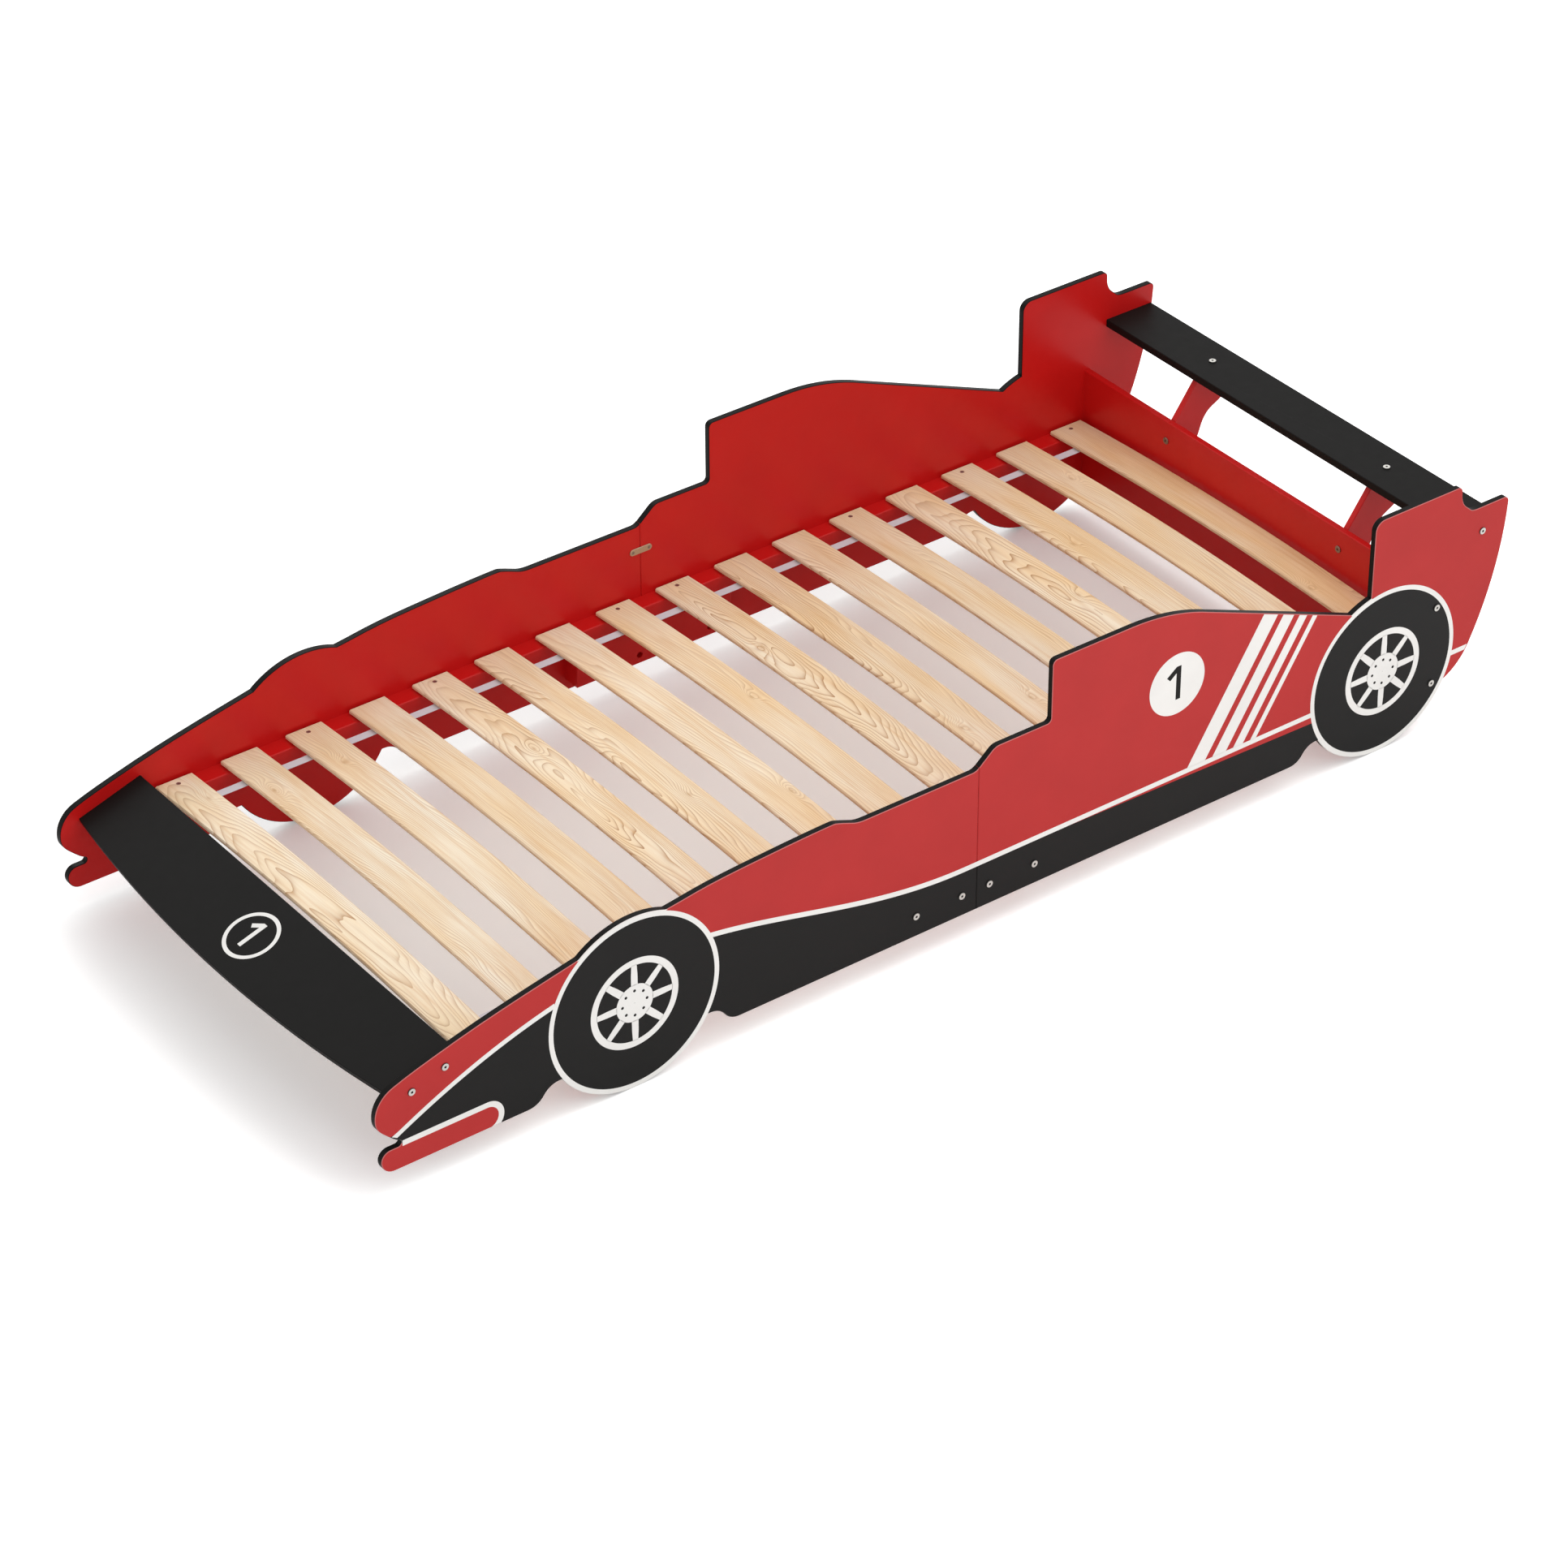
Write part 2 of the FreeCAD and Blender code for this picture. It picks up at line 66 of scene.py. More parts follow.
def shader_node(tree, kind, inputs=(), **settings):
    """Adds a node and gives its inputs values or the outputs of other nodes."""
    node = tree.nodes.new("ShaderNode" + kind)
    for key, value in settings.items():
        setattr(node, key, value)
    for key, value in dict(inputs).items():
        if isinstance(value, bpy.types.NodeSocket):
            tree.links.new(value, node.inputs[key])
        else:
            node.inputs[key].default_value = value
    return node


def arithmetic(tree, operation, *terms, **settings):
    """One step of arithmetic on numbers or on the outputs of other nodes."""
    node = shader_node(tree, "Math", dict(enumerate(terms)), operation=operation, **settings)
    return node.outputs[0]


def blended(tree, share, first, second):
    """Colour between the first and the second, by the share from 0 to 1."""
    inputs = {"Factor": share, 6: first, 7: second}
    return shader_node(tree, "Mix", inputs, data_type="RGBA").outputs[2]


def clouds(tree, place, size, detail=2.0, stretch=(1.0, 1.0, 1.0)):
    """Soft noise whose cells are about size metres wide before they are stretched."""
    scale = tuple(1.0 / (size * s) for s in stretch)
    spread = shader_node(tree, "Mapping", {"Vector": place, "Scale": scale})
    inputs = {"Vector": spread.outputs[0], "Scale": 1.0, "Detail": detail}
    return shader_node(tree, "TexNoise", inputs).outputs["Fac"]


def new_material(name):
    """Empty material with its tree, its shader and the object's own coordinates."""
    material = bpy.data.materials.new(name)
    material.use_nodes = True
    tree = material.node_tree
    return material, tree, tree.nodes["Principled BSDF"], shader_node(tree, "TexCoord")


def lacquer_finish(tree, shader, place, paint, roughness, shine):
    """Sprayed satin lacquer: faint clouds in the tint, orange peel and uneven gloss."""
    shader.inputs["Specular IOR Level"].default_value = shine
    tint = arithmetic(tree, "MULTIPLY_ADD", clouds(tree, place, 0.09, 3.0), 0.16, 0.92)
    shaded = shader_node(tree, "HueSaturation", {"Color": paint, "Value": tint})
    tree.links.new(shaded.outputs[0], shader.inputs["Base Color"])
    uneven = arithmetic(tree, "MULTIPLY_ADD", clouds(tree, place, 0.02), 0.10,
                        roughness - 0.05)
    tree.links.new(uneven, shader.inputs["Roughness"])
    peel = shader_node(tree, "Bump", {"Strength": 0.25, "Distance": 0.00006,
                                      "Height": clouds(tree, place, 0.0022, 1.0)})
    tree.links.new(peel.outputs[0], shader.inputs["Normal"])


STRIPE_WIDTH = 9.4
STRIPE_START = (34.0, 107.8)   # where the pinstripe's lower edge leaves the nose
STRIPE_WHEEL = 319.0           # where it has run in under the front wheel's print
STRIPE_CLIMB = 0.528           # its slope at the start
STRIPE_BOW = 0.000523          # its drop below that slope, for each square mm of run
STRIPE_LEVEL = 130.1           # height at which it runs level to the tail
STRIPE_FALL = [(610.0, 219.9), (773.0, 195.8), (926.5, 130.1), (1110.0, STRIPE_LEVEL)]


def climbing_stripe(count):
    """Front pinstripe's lower edge: a parabola that flattens as it climbs to the wheel."""
    s = np.linspace(STRIPE_START[0], STRIPE_WHEEL, count)
    run = s - STRIPE_START[0]
    rise = STRIPE_CLIMB * run - STRIPE_BOW * run ** 2
    return np.stack([s, STRIPE_START[1] + rise], axis=-1)


def bezier(corners, count):
    """Cubic curve pulled by four corner points, as count points."""
    t = np.linspace(0.0, 1.0, count)[:, None]
    p = np.array(corners)
    return ((1 - t) ** 3 * p[0] + 3 * (1 - t) ** 2 * t * p[1]
            + 3 * (1 - t) * t ** 2 * p[2] + t ** 3 * p[3])


FOOT_CENTRE = (191.5, 66.25)   # round end of the red foot panel
FOOT_RADIUS = 25.1
TYRE_RADIUS = 155.5            # black ground, out to the middle of a wheel's rim line
DISC_RADIUS = 161.0            # a wheel disc with its bevelled edge
CURVE_TOP = 500.0              # height that the pinstripe's curve node gives as 1


def in_circle(tree, along, height, centre, radius):
    """1 inside a circle of the side's plane and 0 outside it."""
    run = arithmetic(tree, "SUBTRACT", along, centre[0])
    rise = arithmetic(tree, "SUBTRACT", height, centre[1])
    squares = arithmetic(tree, "ADD", arithmetic(tree, "MULTIPLY", run, run),
                         arithmetic(tree, "MULTIPLY", rise, rise))
    return arithmetic(tree, "LESS_THAN", squares, radius ** 2)


def side_print(tree, place):
    """Masks of the outer face: where its ground is black, and where a wheel disc is.

    The ground is black under the pinstripe's middle line and in the wheels, but red on
    the foot panel. The pinstripe's middle line is kept in a curve node."""
    axes = shader_node(tree, "SeparateXYZ", {0: place})
    along = arithmetic(tree, "MULTIPLY_ADD", axes.outputs[0], 1.0 / MM, BED_MIDDLE)
    height = arithmetic(tree, "MULTIPLY", axes.outputs[2], 1.0 / MM)
    line = np.concatenate([climbing_stripe(8), bezier(STRIPE_FALL, 16)])
    share = arithmetic(tree, "DIVIDE", along, STRIPE_FALL[-1][0])
    edge = shader_node(tree, "FloatCurve", {"Value": share})
    points = edge.mapping.curves[0].points
    middle = (line + (0.0, STRIPE_WIDTH / 2.0)) / (STRIPE_FALL[-1][0], CURVE_TOP)
    points[0].location = (0.0, middle[0][1])
    points[1].location = middle[-1]
    for step in middle[:-1]:
        points.new(*step)
    for point in points:
        point.handle_type = "VECTOR"
    edge.mapping.update()
    stripe = arithmetic(tree, "MULTIPLY", edge.outputs[0], CURVE_TOP)
    under = arithmetic(tree, "LESS_THAN", height, stripe)
    before_tail = arithmetic(tree, "LESS_THAN", along, WHEELS[1])
    black = arithmetic(tree, "MULTIPLY", under, before_tail)
    foot = in_circle(tree, along, height, FOOT_CENTRE, FOOT_RADIUS)
    low = arithmetic(tree, "LESS_THAN", height, FOOT_CENTRE[1] + FOOT_RADIUS)
    short = arithmetic(tree, "LESS_THAN", along, FOOT_CENTRE[0])
    foot = arithmetic(tree, "MAXIMUM", foot, arithmetic(tree, "MULTIPLY", low, short))
    black = arithmetic(tree, "SUBTRACT", black, foot, use_clamp=True)
    wheels = 0.0
    for s in WHEELS:
        tyre = in_circle(tree, along, height, (s, WHEEL_HEIGHT), TYRE_RADIUS)
        black = arithmetic(tree, "MAXIMUM", black, tyre)
        disc = in_circle(tree, along, height, (s, WHEEL_HEIGHT), DISC_RADIUS)
        wheels = arithmetic(tree, "MAXIMUM", wheels, disc)
    return black, wheels


RED = colour(200, 24, 23)
PRINTED_RED = colour(189, 48, 47)
BLACK = colour(22, 21, 20)
WHITE = colour(244, 242, 238)
OUTER_DEPTH = 3.0         # mm of board, from the outer face in, that count as outside
BESIDE_SEAM = 2.0         # mm on either side of the seam that aren't painted black
BEVEL_FACING = 0.95       # what faces less than this across the bed is bevel or edge
EDGE_FACING = (0.8, 0.4)  # what faces less than this is black, inside and outside
UPRIGHT = 0.3             # what faces up or down less than this is an upright end
BEVEL_HIGHLIGHT = 0.16         # share of white on the outer bevel: a painted highlight along the arris
RIM_PRINT_AND_HIGHLIGHT = 0.75           # more white round a wheel, where the rim line's print runs over the bevel with the painted highlight
RED_ROUGHNESS, RED_SHINE = 0.32, 0.24
INNER_SHINE, OUTER_SHINE, CUT_SHINE = 0.26, 0.18, 0.06


def side_board_paint():
    """Red faces, printed on the outside only, and black wherever the board is cut.

    The cut is told by how little a surface faces across the bed. At the seam only the
    upper and lower edges are black, and the two ends that meet there keep the paint."""
    material, tree, shader, coords = new_material("side_board_lacquer")
    place = coords.outputs["Object"]
    axes = shader_node(tree, "SeparateXYZ", {0: place})
    black, wheels = side_print(tree, place)
    outside = arithmetic(tree, "ABSOLUTE", axes.outputs[1])
    outside = arithmetic(tree, "GREATER_THAN", outside, (BOARD_OUTER - OUTER_DEPTH) * MM)
    black = arithmetic(tree, "MULTIPLY", black, outside)

    facing = shader_node(tree, "SeparateXYZ", {0: coords.outputs["Normal"]})
    turned = arithmetic(tree, "ABSOLUTE", facing.outputs[1])
    bevel = arithmetic(tree, "LESS_THAN", turned, BEVEL_FACING)
    bevel = arithmetic(tree, "MULTIPLY", bevel, outside)
    from_seam = arithmetic(tree, "SUBTRACT", axes.outputs[0], (SEAM - BED_MIDDLE) * MM)
    from_seam = arithmetic(tree, "ABSOLUTE", from_seam)
    seam_end = arithmetic(tree, "LESS_THAN", from_seam, BESIDE_SEAM * MM)
    upward = arithmetic(tree, "ABSOLUTE", facing.outputs[2])
    upright = arithmetic(tree, "LESS_THAN", upward, UPRIGHT)
    seam_end = arithmetic(tree, "MULTIPLY", seam_end, upright)
    inner, outer = EDGE_FACING
    limit = arithmetic(tree, "MULTIPLY_ADD", outside, outer - inner, inner)
    cut = arithmetic(tree, "LESS_THAN", turned, limit)
    cut = arithmetic(tree, "SUBTRACT", cut, seam_end, use_clamp=True)
    bevel = arithmetic(tree, "SUBTRACT", bevel, seam_end, use_clamp=True)

    paint = blended(tree, outside, RED, PRINTED_RED)
    paint = blended(tree, black, paint, BLACK)
    # The outer bevel is painted whiter as a highlight along the arris. Round a wheel it is
    # whiter still, where the rim line's print runs over the bevel.
    bevel_highlight_and_rim_line = arithmetic(tree, "MULTIPLY_ADD", wheels, RIM_PRINT_AND_HIGHLIGHT, BEVEL_HIGHLIGHT)
    paint = blended(tree, arithmetic(tree, "MULTIPLY", bevel, bevel_highlight_and_rim_line), paint, WHITE)
    paint = blended(tree, cut, paint, BLACK)
    lacquer_finish(tree, shader, place, paint, RED_ROUGHNESS, RED_SHINE)
    face_shine = arithmetic(tree, "MULTIPLY_ADD", outside, OUTER_SHINE - INNER_SHINE,
                            INNER_SHINE)
    cut_shine = arithmetic(tree, "MULTIPLY_ADD", cut, CUT_SHINE - 1.0, 1.0)
    tree.links.new(arithmetic(tree, "MINIMUM", face_shine, cut_shine),
                   shader.inputs["Specular IOR Level"])
    return material


def dress(names, material):
    """Gives the named pieces of the bed their finish."""
    for name in names:
        for slot in node_objects[name].material_slots:
            slot.material = material


dress(["side_front_left", "side_front_right", "side_rear_left", "side_rear_right"],
      side_board_paint())


# ---- White and black print on the sides ------------------------------------------------
# Pinstripe, wheels, slanted stripes, number disc and the line round the foot panel are
# screen-printed on the lacquer. Each is a film of ink a tenth of a millimetre thick.

INK = 0.1          # mm, thickness of a film
CLEAR = 0.05       # mm between board and film, so that no two faces lie in one plane
SIDES = (("left", -1.0), ("right", 1.0))


def ink(name, shade):
    """Matt printing ink with a faint pull in its thickness."""
    material, tree, shader, coords = new_material(name)
    lacquer_finish(tree, shader, coords.outputs["Object"], shade, roughness=0.45,
                   shine=0.16)
    return material


white_ink = ink("white_ink", WHITE)
black_ink = ink("black_ink", BLACK)


def grid_faces(rows, columns, start=0):
    """Quads that join the neighbouring points of a grid, counted from start."""
    number = np.arange(rows * columns).reshape(rows, columns) + start
    quads = np.stack([number[:-1, :-1], number[1:, :-1],
                      number[1:, 1:], number[:-1, 1:]], axis=-1)
    return quads.reshape(-1, 4)


def new_piece(name, points, faces, material):
    """Object made of points in metres and of faces that join them."""
    mesh = bpy.data.meshes.new(name)
    mesh.from_pydata(points.tolist(), [], faces.tolist())
    mesh.materials.append(material)
    piece = bpy.data.objects.new(name, mesh)
    bpy.context.scene.collection.objects.link(piece)
    return piece


def thicken(piece, thickness):
    """Gives a sheet its thickness in mm, behind the faces that it has."""
    skin = piece.modifiers.new("thickness", "SOLIDIFY")
    skin.thickness = thickness * MM
    skin.offset = -1.0


def film(name, patches, place, material):
    """Ink film: every patch is a grid of flat points, which place() puts on a board.

    Each patch has the shape (rows, columns, 2). Place gives the points in metres with the
    side that they face, and quads that face the other way are turned round."""
    points, faces, start = [], [], 0
    for patch in patches:
        rows, columns = patch.shape[:2]
        points.append(patch.reshape(-1, 2))
        faces.append(grid_faces(rows, columns, start))
        start += rows * columns
    spots, out = place(np.concatenate(points))
    faces = np.concatenate(faces)
    first = spots[faces[:, 0]]
    normals = np.cross(spots[faces[:, 1]] - first, spots[faces[:, 2]] - first)
    turned = normals @ out < 0
    faces[turned] = faces[turned][:, ::-1]
    piece = new_piece(name, spots, faces, material)
    thicken(piece, INK)
    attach(piece, "root")
    return piece


def on_side(side, layer=1.0, mirror=None):
    """Puts flat points (along the bed, up) on a side's outer face, layer inks proud.

    On the right side a number is turned round the line mirror, so that it stays readable."""
    def place(flat):
        s = flat[:, 0] if mirror is None or side < 0 else 2.0 * mirror - flat[:, 0]
        y = np.full(len(flat), side * (BOARD_OUTER + CLEAR + layer * INK))
        spots = np.stack([s - BED_MIDDLE, y, flat[:, 1]], axis=-1) * MM
        return spots, np.array([0.0, side, 0.0])
    return place


def band(lower, upper):
    """Patch between two edges given point by point."""
    return np.stack([lower, upper], axis=1)


def directions(degrees):
    """Unit steps at the given angles, turned from along the bed toward up."""
    turns = np.radians(degrees)
    return np.stack([np.cos(turns), np.sin(turns)], axis=-1)


def ring(centre, inner, outer, count=96):
    """Patch of a ring: angle by radius."""
    way = directions(np.linspace(0.0, 360.0, count))
    return band(np.array(centre) + inner * way, np.array(centre) + outer * way)


LOBE_CUT = ((30.0, 105.6), (20.6, 111.2))    # the pinstripe's front end, low and high
TAIL_CUT = (2186.4, 2191.3)                  # its rear end at the tail's leaning edge
REAR_WHEEL = (1845.0, 2150.0)                # between these it is under the rear wheel


def pinstripe_patches():
    """Three lengths of stripe, cut by the lobe, the two wheels and the tail's edge."""
    upper_level = STRIPE_LEVEL + STRIPE_WIDTH
    front = climbing_stripe(24)
    front_upper = front + (0.0, STRIPE_WIDTH)
    front = np.concatenate([LOBE_CUT[:1], front])
    front_upper = np.concatenate([LOBE_CUT[1:], front_upper])
    fall = bezier(STRIPE_FALL, 32)
    fall = np.concatenate([fall, [(REAR_WHEEL[0], STRIPE_LEVEL)]])
    tail = np.array([(REAR_WHEEL[1], STRIPE_LEVEL), (TAIL_CUT[0], STRIPE_LEVEL)])
    tail_upper = np.array([(REAR_WHEEL[1], upper_level), (TAIL_CUT[1], upper_level)])
    return [band(front, front_upper), band(fall, fall + (0.0, STRIPE_WIDTH)),
            band(tail, tail_upper)]


FOOT_LINE = (20.05, 30.1)         # inner and outer radius of the line round the foot
FOOT_LINE_START = (38.5, 38.9)    # its two corners at the notch in the nose
FOOT_LINE_END = (-70.0, -38.5)    # degrees at which its two edges reach the board's edge


def foot_line_patches():
    """White line over the foot panel and round its end, down to the board's edge."""
    middle, height = FOOT_CENTRE
    lower, upper = (np.array([(start, height + radius), (middle, height + radius)])
                    for start, radius in zip(FOOT_LINE_START, FOOT_LINE))
    inner, outer = (FOOT_CENTRE + radius * directions(np.linspace(90.0, end, 28))
                    for end, radius in zip(FOOT_LINE_END, FOOT_LINE))
    return [band(lower, upper), band(inner, outer)]


RIM_LINE = (151.0, 159.6)         # inner and outer radius, out to the disc's bevel
HUB_RING = (70.5, 82.1)
HUB_RADIUS = 34.3
SPOKE_REACH = (33.5, 52.0, 71.0)  # radii at which a spoke's half width is given
SPOKE_HALF = (6.2, 6.1, 5.0)
EIGHTHS = np.arange(0.0, 360.0, 45.0)   # degrees, for the spokes and the dots
DISC_HOLE = 0.5                   # left open in a disc's middle, where its faces narrow


def wheel_patches(s):
    """Rim line, hub ring, hub disc and eight spokes that narrow toward the hub ring."""
    centre = (s, WHEEL_HEIGHT)
    patches = [ring(centre, *RIM_LINE, count=129), ring(centre, *HUB_RING),
               ring(centre, DISC_HOLE, HUB_RADIUS)]
    reach, half = np.array(SPOKE_REACH)[:, None], np.array(SPOKE_HALF)[:, None]
    for out in directions(EIGHTHS):
        across = np.array([-out[1], out[0]])
        line = np.array(centre) + reach * out
        patches.append(band(line - half * across, line + half * across))
    return patches


DOT_CIRCLE = 23.0
DOT = (0.2, 2.6)                  # inner and outer radius of a dot


def hub_dots(s):
    """Eight dots round the hub."""
    centres = np.array([s, WHEEL_HEIGHT]) + DOT_CIRCLE * directions(EIGHTHS)
    return [ring(centre, *DOT, count=17) for centre in centres]


SLANTED = ((1575.6, 1613.6), (1629.4, 1658.6), (1674.4, 1695.0), (1711.2, 1723.6))
SLANTED_LEVEL = 145.0      # height at which the front and rear edges above are given
SLANTED_FOOT = 139.2       # just under the pinstripe's upper edge
SLANTED_LEAN = 0.630       # run to the rear for each mm of rise
HOOD_SLOPE = 0.4044        # fall of the hood's edge for each mm to the rear
HOOD_POINT = (1605.0, 428.4)
HOOD_MARGIN = 1.6          # mm left between the stripes and that edge


def slanted_stripes():
    """Four stripes that lean back from the pinstripe up to the sloping hood edge.

    The top of each long edge is the point where its line crosses the hood edge's."""
    hood_height = HOOD_POINT[1] + HOOD_SLOPE * HOOD_POINT[0] - HOOD_MARGIN
    patches = []
    for edges in np.array(SLANTED):
        foot = edges + SLANTED_LEAN * (SLANTED_FOOT - SLANTED_LEVEL)
        top = edges + SLANTED_LEAN * (hood_height - SLANTED_LEVEL)
        top = top / (1.0 + SLANTED_LEAN * HOOD_SLOPE)
        low = np.stack([foot, np.full(2, SLANTED_FOOT)], axis=-1)
        high = np.stack([top, hood_height - HOOD_SLOPE * top], axis=-1)
        patches.append(band(low, high))
    return patches


STEM_WIDTH = 9.7
STEM_HEIGHT = 51.4         # up to the underside of the flag
NUMBER_HEIGHT = 63.6       # up to the top of the flag


def numeral_one(foot, width=1.0, height=1.0):
    """Race number: an upright stem with a flag, its lower left corner at foot.

    Width and height stretch it, and a negative width turns it round."""
    flag = np.array([[(-13.1, 41.0), (-20.1, 48.4)],
                     [(0.0, STEM_HEIGHT), (0.0, NUMBER_HEIGHT)],
                     [(STEM_WIDTH, STEM_HEIGHT), (STEM_WIDTH, NUMBER_HEIGHT)]])
    stem = np.array([[(0.0, 0.0), (0.0, STEM_HEIGHT)],
                     [(STEM_WIDTH, 0.0), (STEM_WIDTH, STEM_HEIGHT)]])
    return [patch * (width, height) + foot for patch in (flag, stem)]


DISC_CENTRE = (1541.6, 316.0)
DISC_EDGE = 57.9                  # radius of the number's white disc
NUMBER_FOOT = (1539.4, 286.0)     # lower left corner of the number on it
for side_name, side in SIDES:
    white_lines = pinstripe_patches() + foot_line_patches() + slanted_stripes()
    film("pinstripes_" + side_name, white_lines, on_side(side), white_ink)
    disc = [ring(DISC_CENTRE, DISC_HOLE, DISC_EDGE)]
    film("number_disc_" + side_name, disc, on_side(side), white_ink)
    number = numeral_one(NUMBER_FOOT)
    placed = on_side(side, 2.0, mirror=DISC_CENTRE[0])
    film("race_number_" + side_name, number, placed, black_ink)
    for end, wheel_s in zip(("front", "rear"), WHEELS):
        tag = end + "_" + side_name
        film("wheel_print_" + tag, wheel_patches(wheel_s), on_side(side, 2.0),
                     white_ink)
        film("hub_dots_" + tag, hub_dots(wheel_s), on_side(side, 3.0),
                     black_ink)


# ---- Rails, joint blocks, rear board and wing struts -----------------------------------
# Square bars and boards of the same fibreboard, lacquered red all over, edges too.
# Barrel nuts inside them take the connector screws that come through the sides.

def plain_lacquer(name, shade, roughness, shine):
    """One lacquer on faces and edges alike."""
    material, tree, shader, coords = new_material(name)
    lacquer_finish(tree, shader, coords.outputs["Object"], shade, roughness, shine)
    return material


dress(["rail_left", "rail_right", "joint_block_left", "joint_block_right", "rear_board",
       "wing_strut_left", "wing_strut_right"],
      plain_lacquer("red_lacquer", RED, RED_ROUGHNESS, RED_SHINE))


# ---- Nose board and wing board ---------------------------------------------------------
# Two black boards. The nose board is tilted, bowed in front, and carries a printed ring
# with the race number, upright for someone in front of the bed.

dress(["nose_board", "wing_board"],
      plain_lacquer("black_lacquer", BLACK, roughness=0.5, shine=0.08))

NOSE_TILT = math.radians(17.55)
NOSE_EDGE = (30.0, 176.0)      # upper front edge of the board at the sides
RING_CENTRE = (0.8, 44.0)      # mm across the bed and up the board
RING_RADII = (41.2, 48.1)
NOSE_NUMBER_FOOT = (4.8, 18.8)
NOSE_NUMBER_SIZE = 0.844       # as a share of the numbers on the sides


def on_nose(flat):
    """Puts flat points (across the bed, up the slope) on the tilted board's top."""
    across, climb = flat[:, 0], flat[:, 1]
    lift = CLEAR + INK
    x = NOSE_EDGE[0] - BED_MIDDLE + climb * math.cos(NOSE_TILT) - lift * math.sin(NOSE_TILT)
    z = NOSE_EDGE[1] + climb * math.sin(NOSE_TILT) + lift * math.cos(NOSE_TILT)
    out = np.array([-math.sin(NOSE_TILT), 0.0, math.cos(NOSE_TILT)])
    return np.stack([x, across, z], axis=-1) * MM, out


nose_number = [ring(RING_CENTRE, *RING_RADII)]
nose_number += numeral_one(NOSE_NUMBER_FOOT, -NOSE_NUMBER_SIZE, NOSE_NUMBER_SIZE)
film("nose_number", nose_number, on_nose, white_ink)


# ---- Slats -----------------------------------------------------------------------------
# Sixteen thin softwood slats, bent upward, 124 mm apart. They are sawn flat, so the rings
# show as long arches, with finer straight grain beside them and a few pale knots.

SLATS = ["slat_%02d" % number for number in range(1, 17)]
SLAT_START = 168.3         # front edge of the first slat
SLAT_PITCH = 123.9
SLAT_WIDTH = 70.5

# The wood's own sizes are in metres.
KNOT_RANGE = (0.05, 0.76)      # stretch across and along a slat in which its knot lies
KNOT_SHAPE = 0.45              # a knot's width as a share of its length
KNOT_FALL = 7000.0             # per square metre, how fast a knot fades to its sides
KNOT_PUSH = 0.020              # how far a knot pushes the rings outward
LOG_SLATS = 4.0                # slats sawn side by side from one log
LOG_WIDTH = 0.16               # width of log that those slats are spread over
PITH_RANGE = 0.08              # spread of the pith's depth from slat to slat
PITH_LEAN = 0.11               # and the slope at which the pith runs through a slat
LOG_BEND = 0.04                # sideways bends of the log
RING_WAVE = 0.0022             # small waves in every ring
RING_EDDY = (0.002, 0.046)     # slow bends in all rings, and more of them in heartwood
RING_WIDTH = (0.0029, 0.002, 0.0022)  # narrowest, more by chance, and more in heartwood

PALE_WOOD = colour(253, 244, 223)
WARM_WOOD = colour(246, 213, 163)
LATE_WOOD = colour(164, 110, 60)
FIBRE = colour(203, 160, 110)
STREAK = colour(210, 162, 106)
KNOT = colour(186, 138, 84)
SAWN_EDGE = colour(196, 142, 92)
# Paler, less red wood painted at the slats' ends: painted light against the red light from
# the sides.
PAINTED_LIGHT_AT_ENDS = colour(240, 241, 200)


def place_on_slat(tree, place):
    """A slat's number from the nose, the place across and along it, and its luck.

    The slats are equal steps apart, so the whole part of the steps run is the number and
    the rest is the place across. Luck is three chance numbers from 0 to 1 for each slat.
    The last result is where clouds are read, moved so that no two slats look alike."""
    axes = shader_node(tree, "SeparateXYZ", {0: place})
    steps = arithmetic(tree, "MULTIPLY_ADD", axes.outputs[0], 1.0 / (SLAT_PITCH * MM),
                       (BED_MIDDLE - SLAT_START) / SLAT_PITCH)
    count = arithmetic(tree, "FLOOR", steps)
    across = arithmetic(tree, "SUBTRACT", steps, count)
    across = arithmetic(tree, "MULTIPLY_ADD", across, SLAT_PITCH * MM,
                        -SLAT_WIDTH * MM / 2.0)
    along = axes.outputs[1]
    chance = shader_node(tree, "TexWhiteNoise", {"W": arithmetic(tree, "ADD", count, 0.37)},
                         noise_dimensions="1D")
    luck = shader_node(tree, "SeparateColor", {0: chance.outputs["Color"]}).outputs
    spot = shader_node(tree, "CombineXYZ", {
        0: across, 1: arithmetic(tree, "MULTIPLY_ADD", luck[0], 7.0, along),
        2: arithmetic(tree, "MULTIPLY_ADD", count, 0.31, axes.outputs[2])}).outputs[0]
    return count, across, along, luck, spot


def swing(tree, spot, size, detail, stretch):
    """Clouds that swing about nought, from minus a half to a half."""
    return arithmetic(tree, "SUBTRACT", clouds(tree, spot, size, detail, stretch), 0.5)


def knot_bell(tree, across, along, luck):
    """A knot in each slat: the bell curve of the squared distance from its middle."""
    wide, long = KNOT_RANGE
    knot_x = arithmetic(tree, "MULTIPLY_ADD", luck[2], wide, -wide / 2.0)
    knot_y = arithmetic(tree, "MULTIPLY_ADD", luck[0], long, -long / 2.0)
    dx = arithmetic(tree, "SUBTRACT", across, knot_x)
    dy = arithmetic(tree, "MULTIPLY", arithmetic(tree, "SUBTRACT", along, knot_y),
                    KNOT_SHAPE)
    far = arithmetic(tree, "ADD", arithmetic(tree, "MULTIPLY", dx, dx),
                     arithmetic(tree, "MULTIPLY", dy, dy))
    return arithmetic(tree, "EXPONENT", arithmetic(tree, "MULTIPLY", far, -KNOT_FALL))


